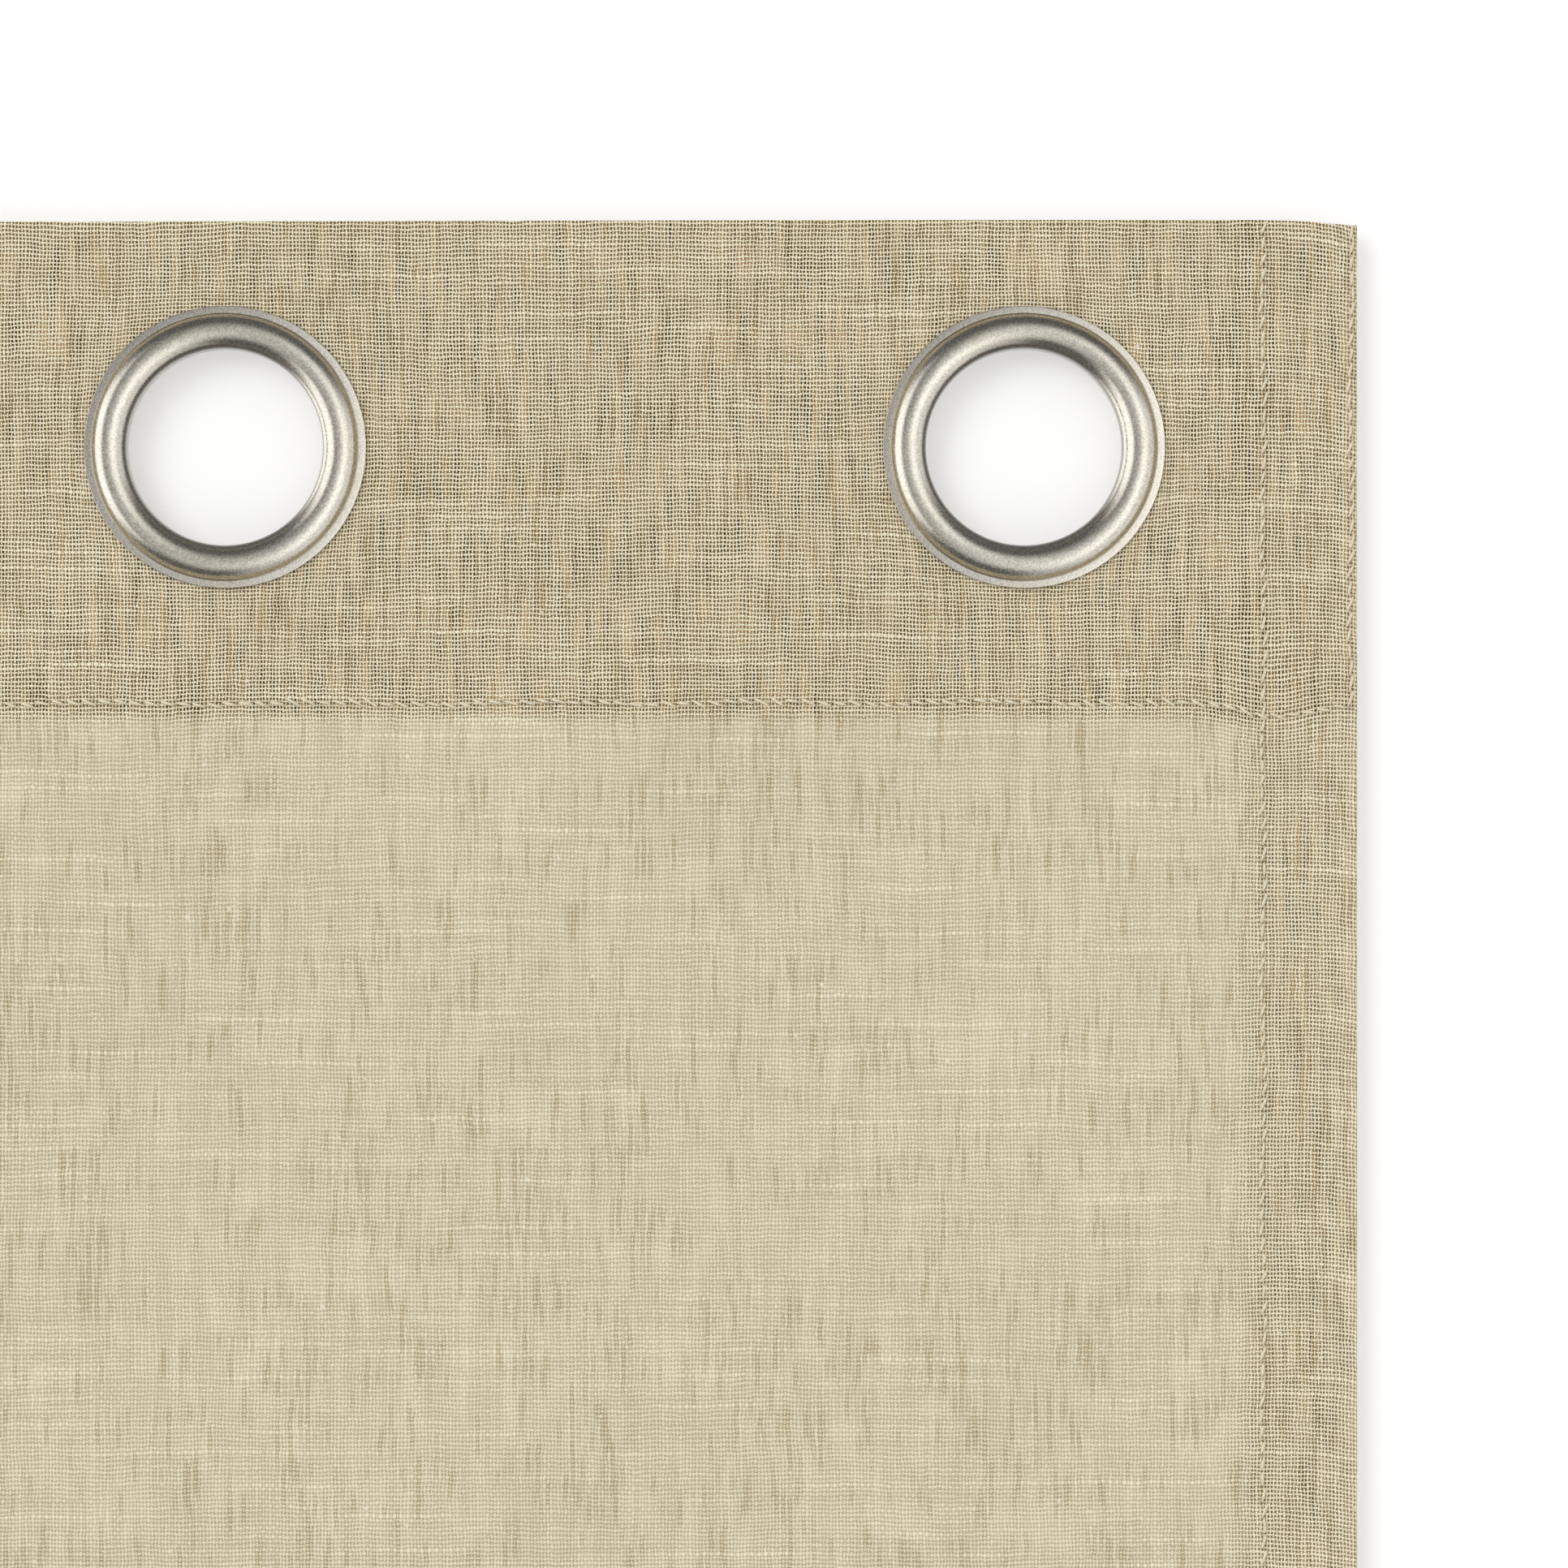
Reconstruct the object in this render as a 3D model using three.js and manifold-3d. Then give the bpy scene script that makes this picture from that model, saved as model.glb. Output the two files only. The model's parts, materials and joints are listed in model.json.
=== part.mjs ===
// One grommet-top curtain panel, hanging flat, in millimetres, +Z up.
//
// The panel lies in the XZ plane with its front towards -Y. The origin is the middle of the line
// through the grommet centres, where a curtain rod carries the panel. Every grommet is set in a
// stiff section of cloth, and a narrow fold band joins each section to the next, so the panel can
// gather into pleats as it slides along a rod.

import * as THREE from "three";
import { mergeVertices } from "three/addons/utils/BufferGeometryUtils.js";
import Module from "manifold-3d";

const wasm = await Module();
wasm.setup();

// The panel
const PANEL_WIDTH = 1321; // flat, from side edge to side edge
const PANEL_LENGTH = 2134; // top edge to bottom edge
const CLOTH = 0.5; // one ply
const HEADER_DEPTH = 104; // cloth turned to the back at the top
const BOTTOM_HEM_DEPTH = 78; // cloth turned to the back at the bottom
const SIDE_HEM_WIDTH = 22; // cloth turned to the back at each side

// The grommets
const GROMMET_COUNT = 8;
const EDGE_TO_GROMMET = 70.5; // side edge to the centre of the nearest grommet
const GROMMET_DROP = 48; // top edge to the grommet centres
const ROD_HOLE_RADIUS = 20.7;
const METAL = 0.6; // sheet thickness
const DOME_WIDTH = 7.6; // across the raised ring
const DOME_HEIGHT = 3.6; // above the rim
const RIM_WIDTH = 1.45; // flat rim outside the raised ring
const WASHER_RADIUS = 29;
const WASHER_CROWN = 0.8;
const LIP_WIDTH = 2; // of the neck that is rolled over the washer
const ROUND_STEPS = 24;

// The sewing thread
const THREAD = 0.4;
const SEAM_INSET = 2; // stitches to the turned edge that they hold down
const CLOSING_INSET = 1.5; // side edge to the stitches that close the header's end
const THREAD_END = 1; // each run stops this far short of its cloth

// Folds and fits
const FOLD_BAND = 30; // width of cloth that turns between two sections
const GAP = 0.3; // between pieces that rest on each other, and between strips folded square
const NECK_CLEARANCE = 0.6; // grommet neck to the hole cut in the cloth
const WASHER_CLEARANCE = 0.4; // grommet neck to the washer's hole

const PITCH = (PANEL_WIDTH - 2 * EDGE_TO_GROMMET) / (GROMMET_COUNT - 1);
const TOP = GROMMET_DROP;
const BOTTOM = TOP - PANEL_LENGTH;
const NECK_RADIUS = ROD_HOLE_RADIUS + METAL;
const CREST_RADIUS = ROD_HOLE_RADIUS + DOME_WIDTH / 2;
const RIM_RADIUS = ROD_HOLE_RADIUS + DOME_WIDTH + RIM_WIDTH;
const FOLD_EDGE = CLOTH + GAP; // cloth edge to fold axis
const INNER_HALF_WIDTH = (PITCH - FOLD_BAND) / 2 - FOLD_EDGE;
const OUTER_HALF_WIDTH = EDGE_TO_GROMMET;

const linen = new THREE.MeshStandardMaterial({ color: 0xcfc5a7, roughness: 0.95, metalness: 0 });
const nickel = new THREE.MeshStandardMaterial({ color: 0xa79f94, roughness: 0.35, metalness: 1 });
const steel = new THREE.MeshStandardMaterial({ color: 0x9c968c, roughness: 0.45, metalness: 1 });
const cotton = new THREE.MeshStandardMaterial({ color: 0xe4dbc0, roughness: 0.85, metalness: 0 });

// A closed geometry as a manifold solid.
function solidOf(geometry) {
  const bare = geometry.clone();
  bare.deleteAttribute("normal");
  bare.deleteAttribute("uv");
  const merged = mergeVertices(bare, 1e-5);
  const vertProperties = new Float32Array(merged.attributes.position.array);
  const triVerts = new Uint32Array(merged.index.array);
  return new wasm.Manifold(new wasm.Mesh({ numProp: 3, vertProperties, triVerts }));
}

// A manifold solid as a geometry.
function geometryOf(solid) {
  const mesh = solid.getMesh();
  const geometry = new THREE.BufferGeometry();
  geometry.setAttribute("position", new THREE.BufferAttribute(mesh.vertProperties, 3));
  geometry.setIndex(new THREE.BufferAttribute(mesh.triVerts, 1));
  geometry.computeVertexNormals();
  return geometry;
}

// A box between two corners.
function boxBetween([x0, y0, z0], [x1, y1, z1]) {
  const box = new THREE.BoxGeometry(x1 - x0, y1 - y0, z1 - z0);
  return box.translate((x0 + x1) / 2, (y0 + y1) / 2, (z0 + z1) / 2);
}

// The side view of the cloth, one ply in front of y = 0 and the turned plies behind it, drawn as
// (y, z) and carried along X from x0 to x1.
function clothStrip(x0, x1) {
  const side = new THREE.Shape();
  side.moveTo(-CLOTH, BOTTOM);
  side.lineTo(CLOTH, BOTTOM);
  side.lineTo(CLOTH, BOTTOM + BOTTOM_HEM_DEPTH);
  side.lineTo(0, BOTTOM + BOTTOM_HEM_DEPTH);
  side.lineTo(0, TOP - HEADER_DEPTH);
  side.lineTo(CLOTH, TOP - HEADER_DEPTH);
  side.lineTo(CLOTH, TOP);
  side.lineTo(-CLOTH, TOP);
  side.closePath();
  const strip = new THREE.ExtrudeGeometry(side, { depth: x1 - x0, bevelEnabled: false });
  const yAxis = new THREE.Vector3(0, 1, 0);
  const zAxis = new THREE.Vector3(0, 0, 1);
  const xAxis = new THREE.Vector3(1, 0, 0);
  strip.applyMatrix4(new THREE.Matrix4().makeBasis(yAxis, zAxis, xAxis));
  return strip.translate(x0, 0, 0);
}

// A cloth section around one grommet, cut for the grommet's neck. outerSide is -1 or 1 where a
// side of the panel is hemmed, or 0.
function clothSection(x0, x1, outerSide) {
  const neckHole = new THREE.CylinderGeometry(
    NECK_RADIUS + NECK_CLEARANCE,
    NECK_RADIUS + NECK_CLEARANCE,
    4 * CLOTH,
    ROUND_STEPS,
  );
  let solid = solidOf(clothStrip(x0, x1)).subtract(solidOf(neckHole));
  if (outerSide !== 0) {
    const hemX0 = outerSide > 0 ? x1 - SIDE_HEM_WIDTH : x0;
    const hemTop = TOP - HEADER_DEPTH / 2;
    const hemBottom = BOTTOM + BOTTOM_HEM_DEPTH / 2;
    const hem = boxBetween([hemX0, -CLOTH, hemBottom], [hemX0 + SIDE_HEM_WIDTH, CLOTH, hemTop]);
    solid = solid.add(solidOf(hem));
  }
  return geometryOf(solid);
}

// Points of half an ellipse in (radius, y), from fromTurn to toTurn, in radians about its centre.
function halfRound(centreRadius, halfWidth, baseY, height, fromTurn, toTurn, steps) {
  return Array.from({ length: steps + 1 }, (_, k) => {
    const turn = fromTurn + ((toTurn - fromTurn) * k) / steps;
    return new THREE.Vector2(
      centreRadius + halfWidth * Math.cos(turn),
      baseY - height * Math.sin(turn),
    );
  });
}

// The grommet's front piece: flat rim, raised hollow ring, and a neck that passes through the
// cloth and is rolled over the washer.
function grommetRing() {
  const rimBack = -CLOTH - GAP;
  const rimFront = rimBack - METAL;
  const lipFront = CLOTH + GAP + METAL + WASHER_CROWN + GAP;
  const lipRadius = NECK_RADIUS + LIP_WIDTH;
  const halfDome = DOME_WIDTH / 2;
  return new THREE.LatheGeometry(
    [
      new THREE.Vector2(RIM_RADIUS, rimFront),
      new THREE.Vector2(RIM_RADIUS, rimBack),
      ...halfRound(CREST_RADIUS, halfDome - METAL, rimBack, DOME_HEIGHT, 0, Math.PI, 4),
      new THREE.Vector2(NECK_RADIUS, lipFront),
      new THREE.Vector2(lipRadius, lipFront),
      new THREE.Vector2(lipRadius, lipFront + METAL),
      new THREE.Vector2(ROD_HOLE_RADIUS, lipFront + METAL),
      ...halfRound(CREST_RADIUS, halfDome, rimFront, DOME_HEIGHT, Math.PI, 0, 6),
      new THREE.Vector2(RIM_RADIUS, rimFront),
    ],
    ROUND_STEPS,
  );
}

// The grommet's back piece: a washer crowned towards the back.
function grommetWasher() {
  const holeRadius = NECK_RADIUS + WASHER_CLEARANCE;
  const front = CLOTH + GAP;
  return new THREE.LatheGeometry(
    [
      new THREE.Vector2(holeRadius, front),
      new THREE.Vector2(WASHER_RADIUS, front),
      new THREE.Vector2(WASHER_RADIUS, front + METAL),
      new THREE.Vector2((holeRadius + WASHER_RADIUS) / 2, front + METAL + WASHER_CROWN),
      new THREE.Vector2(holeRadius, front + METAL),
      new THREE.Vector2(holeRadius, front),
    ],
    ROUND_STEPS,
  );
}

// A straight run of stitches on the front of the cloth, between two corners given as (x, z).
function threadRun([x0, z0], [x1, z1]) {
  const back = -CLOTH - GAP;
  return boxBetween([x0, back - THREAD, z0], [x1, back, z1]);
}

function named(name, geometry, material) {
  const mesh = new THREE.Mesh(geometry, material);
  mesh.name = name;
  return mesh;
}

const panel = new THREE.Group();

// The sections, each with its grommet and the seams sewn across it.
for (let n = 1; n <= GROMMET_COUNT; n += 1) {
  const outerSide = (n === GROMMET_COUNT) - (n === 1);
  const x0 = outerSide < 0 ? -OUTER_HALF_WIDTH : -INNER_HALF_WIDTH;
  const x1 = outerSide > 0 ? OUTER_HALF_WIDTH : INNER_HALF_WIDTH;
  const section = new THREE.Group();
  section.position.x = (n - (GROMMET_COUNT + 1) / 2) * PITCH;
  panel.add(section);

  section.add(named(`cloth_section_${n}`, clothSection(x0, x1, outerSide), linen));
  section.add(named(`grommet_ring_${n}`, grommetRing(), nickel));
  section.add(named(`grommet_washer_${n}`, grommetWasher(), steel));

  const headerSeam = TOP - HEADER_DEPTH + SEAM_INSET;
  const bottomSeam = BOTTOM + BOTTOM_HEM_DEPTH - SEAM_INSET;
  const seamX0 = x0 + (outerSide < 0 ? SIDE_HEM_WIDTH : THREAD_END);
  const seamX1 = x1 - (outerSide > 0 ? SIDE_HEM_WIDTH : THREAD_END);
  const headerRun = threadRun([seamX0, headerSeam], [seamX1, headerSeam + THREAD]);
  const bottomRun = threadRun([seamX0, bottomSeam - THREAD], [seamX1, bottomSeam]);
  section.add(named(`header_stitching_${n}`, headerRun, cotton));
  section.add(named(`bottom_hem_stitching_${n}`, bottomRun, cotton));

  if (outerSide !== 0) {
    const side = outerSide < 0 ? "left" : "right";
    const sideSeam = outerSide * (OUTER_HALF_WIDTH - SIDE_HEM_WIDTH + SEAM_INSET);
    const closingSeam = outerSide * (OUTER_HALF_WIDTH - CLOSING_INSET);
    const sideRun = threadRun(
      [sideSeam - THREAD / 2, BOTTOM + THREAD_END],
      [sideSeam + THREAD / 2, TOP - THREAD_END],
    );
    const closingRun = threadRun(
      [closingSeam - THREAD / 2, headerSeam],
      [closingSeam + THREAD / 2, TOP - THREAD_END],
    );
    section.add(named(`side_hem_stitching_${side}`, sideRun, cotton));
    section.add(named(`header_end_stitching_${side}`, closingRun, cotton));
  }
}

// The fold bands between the sections.
for (let n = 1; n < GROMMET_COUNT; n += 1) {
  const halfBand = FOLD_BAND / 2 - FOLD_EDGE;
  const band = named(`cloth_fold_${n}`, clothStrip(-halfBand, halfBand), linen);
  band.position.x = (n - GROMMET_COUNT / 2) * PITCH;
  panel.add(band);
}

export default panel;
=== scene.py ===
"""A grommet-top curtain panel in semi-sheer linen, dressed around its fixed frame.

The panel hangs flat in the XZ plane with its front towards -Y. Its cloth is one sheet, cut wider
and longer than the panel and turned to the back along all four edges. The sheet is made in spans,
each from the middle of a stiff section to the middle of a fold band, so that each span lies over
at most one hinge. A place on the sheet is (u, v), in metres: u runs across it and v along it.
"""

import json
import math

import bpy
import numpy as np
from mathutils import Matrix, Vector

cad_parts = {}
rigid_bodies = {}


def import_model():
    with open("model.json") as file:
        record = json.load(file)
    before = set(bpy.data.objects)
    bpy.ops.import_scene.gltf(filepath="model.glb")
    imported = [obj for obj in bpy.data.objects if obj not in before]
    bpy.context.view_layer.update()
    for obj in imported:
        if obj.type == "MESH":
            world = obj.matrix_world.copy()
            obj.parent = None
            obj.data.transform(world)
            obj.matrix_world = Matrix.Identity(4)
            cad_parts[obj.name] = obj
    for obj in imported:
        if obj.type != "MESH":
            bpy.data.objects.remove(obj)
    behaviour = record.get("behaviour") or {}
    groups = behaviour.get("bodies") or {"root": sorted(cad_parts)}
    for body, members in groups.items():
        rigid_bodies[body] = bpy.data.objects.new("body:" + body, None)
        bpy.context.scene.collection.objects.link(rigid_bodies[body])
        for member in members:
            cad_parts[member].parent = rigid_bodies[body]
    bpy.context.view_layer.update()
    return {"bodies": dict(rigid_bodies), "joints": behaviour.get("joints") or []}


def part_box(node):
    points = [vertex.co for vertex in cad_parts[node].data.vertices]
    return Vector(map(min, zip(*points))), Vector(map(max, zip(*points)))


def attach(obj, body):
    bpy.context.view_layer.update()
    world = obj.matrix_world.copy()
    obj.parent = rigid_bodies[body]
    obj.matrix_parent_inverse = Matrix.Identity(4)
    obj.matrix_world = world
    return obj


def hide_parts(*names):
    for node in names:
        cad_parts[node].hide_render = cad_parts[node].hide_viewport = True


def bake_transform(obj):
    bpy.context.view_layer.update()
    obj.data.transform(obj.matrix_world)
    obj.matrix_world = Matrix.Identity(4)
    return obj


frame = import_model()

bl_info = {
    "name": "Grommet Curtain Panel",
    "version": (1, 0, 0),
    "blender": (4, 5, 0),
    "location": "3D View > Sidebar > Curtain",
    "description": "Makes a linen curtain panel with metal grommets, sewn hems and a plain studio",
    "category": "Add Mesh",
}

MM = 0.001
TAU = 2 * math.pi
SHEET_MAP = "sheet"
WEAVE_MAP = "weave"

# The panel's outline, from the frame.
SECTION_COUNT = sum(name.startswith("section_") for name in frame["bodies"])
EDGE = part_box(f"cloth_section_{SECTION_COUNT}")[1].x
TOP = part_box("cloth_fold_1")[1].z
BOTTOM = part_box("cloth_fold_1")[0].z
GROMMETS = [
    (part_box(f"grommet_ring_{n}")[0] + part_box(f"grommet_ring_{n}")[1]) / 2
    for n in range(1, SECTION_COUNT + 1)
]
RING_LOW, RING_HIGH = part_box("grommet_ring_1")
RING_RADIUS = (RING_HIGH.x - RING_LOW.x) / 2
WASHER_RADIUS = (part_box("grommet_washer_1")[1].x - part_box("grommet_washer_1")[0].x) / 2

# How the sheet is cut and turned.
HEADER = 104 * MM
BOTTOM_HEM = 78 * MM
SIDE_HEM = 22 * MM
SEAM_INSET = 2 * MM
END_SEAM_INSET = 1.5 * MM
FOLD_RADIUS = 0.5 * MM
PLY_FRONT = 0.3 * MM
PLY_STEP = 0.2 * MM
CLOTH_HOLE = 23 * MM
BEND_REACH = 15 * MM
RIM_WIDTH = 1.45 * MM
RIM_TO_CLOTH = 0.3 * MM
NECK_TO_WASHER = 0.4 * MM
HEADER_SEAM = TOP - HEADER + SEAM_INSET
BOTTOM_SEAM = BOTTOM + BOTTOM_HEM - SEAM_INSET
SIDE_SEAM = EDGE - SIDE_HEM + SEAM_INSET

# From the middle of the camera's view to the panel's corner, across and up, in widths of the view.
CORNER_FROM_MIDDLE = (0.366, 0.3597)


class LinenSettings(bpy.types.PropertyGroup):
    """The cloth."""

    thickness: bpy.props.FloatProperty(
        name="Ply thickness", description="Thickness of one ply of cloth",
        default=0.18 * MM, min=0.05 * MM, unit="LENGTH",
    )
    warp_pitch: bpy.props.FloatProperty(
        name="Warp pitch", description="Distance between threads that run along the panel",
        default=0.72 * MM, min=0.2 * MM, unit="LENGTH",
    )
    weft_pitch: bpy.props.FloatProperty(
        name="Weft pitch", description="Distance between threads that run across the panel",
        default=0.894 * MM, min=0.2 * MM, unit="LENGTH",
    )
    wave_depth: bpy.props.FloatProperty(
        name="Wave depth", description="How far the hanging cloth swells forward near its foot",
        default=6 * MM, min=0, unit="LENGTH",
    )
    # Painted highlight and painted shade: a thread is lighter where it rises over a crossing and
    # darker where it dips under one.
    thread_painted_highlight: bpy.props.FloatVectorProperty(
        name="Thread, raised", description="Colour where a thread passes over another",
        default=(0.84, 0.765, 0.575), size=3, min=0, max=1, subtype="COLOR",
    )
    thread_shade: bpy.props.FloatVectorProperty(
        name="Thread, sunk", description="Colour where a thread dips under another",
        default=(0.585, 0.52, 0.36), size=3, min=0, max=1, subtype="COLOR",
    )
    # Painted shade: the colours between the threads stand in for the shaded wall seen through one
    # ply and for the deep shade between the plies of a hem.
    open_gap_painted_shade: bpy.props.FloatVectorProperty(
        name="Gap, one ply", description="Colour seen between the threads of a single ply",
        default=(0.45, 0.385, 0.255), size=3, min=0, max=1, subtype="COLOR",
    )
    hem_gap_painted_shade: bpy.props.FloatVectorProperty(
        name="Gap, hem", description="Colour seen between the threads where plies overlap",
        default=(0.168, 0.109, 0.046), size=3, min=0, max=1, subtype="COLOR",
    )


class ThreadSettings(bpy.types.PropertyGroup):
    """The sewing thread."""

    stitch_pitch: bpy.props.FloatProperty(
        name="Stitch pitch", description="Distance from one needle hole to the next",
        default=3.3 * MM, min=1 * MM, unit="LENGTH",
    )
    radius: bpy.props.FloatProperty(
        name="Thread radius", description="Radius of the sewing thread",
        default=0.34 * MM, min=0.05 * MM, unit="LENGTH",
    )
    colour: bpy.props.FloatVectorProperty(
        name="Thread colour", description="Colour of the sewing thread",
        default=(0.86, 0.785, 0.585), size=3, min=0, max=1, subtype="COLOR",
    )


class GrommetSettings(bpy.types.PropertyGroup):
    """The grommets."""

    metal: bpy.props.FloatProperty(
        name="Metal thickness", description="Thickness of the pressed sheet",
        default=0.6 * MM, min=0.2 * MM, unit="LENGTH",
    )
    dome_width: bpy.props.FloatProperty(
        name="Ring width", description="Width of the raised ring",
        default=7.6 * MM, min=2 * MM, unit="LENGTH",
    )
    steps: bpy.props.IntProperty(
        name="Steps", description="Flat steps round each grommet", default=144, min=24,
    )
    colour: bpy.props.FloatVectorProperty(
        name="Nickel", description="Colour of the satin nickel",
        default=(0.56, 0.53, 0.47), size=3, min=0, max=1, subtype="COLOR",
    )


class StageSettings(bpy.types.PropertyGroup):
    """The studio."""

    view_width: bpy.props.FloatProperty(
        name="View width", description="Width of panel that the camera sees",
        default=331 * MM, min=50 * MM, unit="LENGTH",
    )
    lens: bpy.props.FloatProperty(
        name="Lens", description="Focal length in millimetres", default=135, min=20,
    )
    wall_gap: bpy.props.FloatProperty(
        name="Wall gap", description="From the middle of the cloth to the wall behind it",
        default=6 * MM, min=4 * MM, unit="LENGTH",
    )
    floor_gap: bpy.props.FloatProperty(
        name="Floor gap", description="From the floor to the bottom hem",
        default=12 * MM, min=0, unit="LENGTH",
    )
    fill: bpy.props.FloatProperty(
        name="Fill light", description="Brightness of the even studio light",
        default=0.95, min=0,
    )
    key: bpy.props.FloatProperty(
        name="Key light", description="Strength of the soft lamp above and to the left",
        default=0.9, min=0,
    )


# Meshes


def put_mesh(name, points, faces, material, maps=None):
    """A smooth object at the origin, from points (n, 3) in metres, lists of corner numbers, and a
    pair of coordinates for each point in each named UV map."""
    mesh = bpy.data.meshes.new(name)
    mesh.from_pydata(points.tolist(), [], faces)
    corner = np.empty(len(mesh.loops), np.int32)
    mesh.loops.foreach_get("vertex_index", corner)
    for key, place in (maps or {}).items():
        layer = mesh.uv_layers.new(name=key)
        layer.data.foreach_set("uv", place[corner].astype(np.float32).ravel())
    mesh.polygons.foreach_set("use_smooth", np.ones(len(mesh.polygons), bool))
    mesh.materials.append(material)
    mesh.update()
    piece = bpy.data.objects.new(name, mesh)
    bpy.context.scene.collection.objects.link(piece)
    return piece


def grid_faces(rows, columns, wrap_rows=False, wrap_columns=False):
    """Quads of a grid of points numbered along each row in turn, closed where it wraps."""
    row = np.arange(rows if wrap_rows else rows - 1)
    column = np.arange(columns if wrap_columns else columns - 1)
    r, c = (a.ravel() for a in np.meshgrid(row, column, indexing="ij"))
    r1, c1 = (r + 1) % rows, (c + 1) % columns
    return np.stack([r * columns + c, r * columns + c1, r1 * columns + c1, r1 * columns + c], 1)


def laid_out(stops):
    """Positions from stop to stop. Each stop gives a position and the longest step after it."""
    parts = [
        np.linspace(a, b, int(math.ceil((b - a) / step)) + 1)[:-1]
        for (a, step), (b, _) in zip(stops, stops[1:])
    ]
    return np.concatenate(parts + [[stops[-1][0]]])


def keep_rim_sharp(piece):
    """Shades a sheet right up to its cut edges as if it went on past them."""
    mesh = piece.data
    ends = np.empty(2 * len(mesh.edges), np.int32)
    mesh.edges.foreach_get("vertices", ends)
    sides = np.empty(len(mesh.loops), np.int32)
    mesh.loops.foreach_get("edge_index", sides)
    rim = np.bincount(sides, minlength=len(mesh.edges)) == 1
    sharp = mesh.attributes.new("sharp_edge", "BOOLEAN", "EDGE")
    sharp.data.foreach_set("value", rim)


def ease(t):
    """0 below 0, 1 above 1, and 3t^2 - 2t^3 between."""
    t = np.clip(t, 0, 1)
    return t * t * (3 - 2 * t)


# The cloth's shape


def round_the_fold(past):
    """Distance from a fold after the cloth is turned there: |past|, or a parabola close to it."""
    near = past * past / (2 * FOLD_RADIUS) + FOLD_RADIUS / 2
    return np.where(np.abs(past) < FOLD_RADIUS, near, np.abs(past))


def turned(past):
    """0 before a fold, 1 after it, and half a sine wave over the fold itself."""
    return 0.5 + 0.5 * np.sin(np.clip(past / FOLD_RADIUS, -1, 1) * math.pi / 2)


def pucker(along, across, reach):
    """Three sine waves along a seam, dying away as a bell curve across it."""
    ripple = (
        0.5 * np.sin(along * TAU / (9.3 * MM) + 1.3 * np.sin(along * TAU / (41 * MM)))
        + 0.3 * np.sin(along * TAU / (14.1 * MM) + 2.0)
        + 0.2 * np.sin(along * TAU / (6.1 * MM) + 0.7)
    )
    return 0.14 * MM * ripple * np.exp(-((across / reach) ** 2))


def relief(x, z):
    """How far the cloth swells forward: broad waves that deepen towards the foot, puckers along
    the seams, and ripples that spread from each grommet and fade within a few millimetres."""
    depth = bpy.context.scene.curtain_linen.wave_depth * ease((TOP - 0.13 - z) / 1.5)
    broad = 0.6 * np.sin(x * TAU / 0.31 + 0.8 + 0.5 * np.sin(2.1 * z))
    narrow = 0.4 * np.sin(x * TAU / 0.127 + 1.7 * z + 2)
    swell = depth * (0.5 + 0.5 * (broad + narrow))
    swell = swell + pucker(x, z - HEADER_SEAM, 6 * MM) + pucker(x, z - BOTTOM_SEAM, 7 * MM)
    swell = swell + pucker(z, np.abs(x) - SIDE_SEAM, 5 * MM)
    for centre in GROMMETS:
        away = np.hypot(x - centre.x, z - centre.z)
        angle = np.arctan2(z - centre.z, x - centre.x)
        fade = np.exp(-np.clip(away - RING_RADIUS, 0, None) / (7 * MM))
        swell = swell + 0.1 * MM * np.sin(11 * angle + 3 * centre.x) * fade
    return swell


def cloth_point(u, v):
    """Where the place (u, v) of the sheet lies. Past an edge of the panel the sheet runs back the
    way it came, one ply further in: across, x = edge - |u - edge|, and along, z = top - |v - top|,
    each rounded at the fold. Both plies swell alike. The top corners droop, and the header's seam
    sinks where it crosses the side hems, both as bell curves."""
    x = np.where(u > 0, EDGE - round_the_fold(u - EDGE), round_the_fold(u + EDGE) - EDGE)
    middle = (TOP + BOTTOM) / 2
    z = np.where(v > middle, TOP - round_the_fold(v - TOP), BOTTOM + round_the_fold(v - BOTTOM))
    side_turn = turned(np.abs(u) - EDGE)
    end_turn = turned(np.where(v > middle, v - TOP, BOTTOM - v))
    y = -(PLY_FRONT - PLY_STEP * side_turn) * (1 - 2 * end_turn) - relief(x, z)
    from_side = EDGE - np.abs(x)
    droop = 1.2 * MM * np.exp(-((from_side / (9 * MM)) ** 1.5)) * np.exp((z - TOP) / (30 * MM))
    sink = np.exp(-(((from_side - 18 * MM) / (11 * MM)) ** 2))
    sink = 2.8 * MM * sink * np.exp(-(((z - HEADER_SEAM) / (15 * MM)) ** 2))
    bow = 0.22 * MM * np.sin(x * TAU / 0.57 + 1.2) * np.exp((z - TOP) / 0.2)
    return np.stack([x, y, z - droop - sink + bow], -1)


def outward(u, v):
    """-1 where the sheet's outer face looks forward and 1 where it looks back."""
    middle = (TOP + BOTTOM) / 2
    past_end = np.where(v > middle, v - TOP, BOTTOM - v) > 0
    past_side = np.abs(u) > EDGE
    return np.where(past_end ^ past_side, 1.0, -1.0)


def weave_place(u, v):
    """Where the threads that cross (u, v) lay before they were disturbed: pushed outwards round
    each grommet, and pulled down along the side hems."""
    wu, wv = u.copy(), v.copy()
    for centre in GROMMETS:
        for line in (centre.z, 2 * TOP - centre.z):
            du, dv = u - centre.x, v - line
            away = np.hypot(du, dv) + 1e-9
            push = 1.1 * MM * np.exp(-np.clip(away - RING_RADIUS, 0, None) / (6 * MM))
            wu -= push * du / away
            wv -= push * dv / away
    wv += 1.6 * MM * np.exp(-np.abs(EDGE - np.abs(u)) / (7 * MM))
    return np.stack([wu, wv], -1)


# Materials


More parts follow.
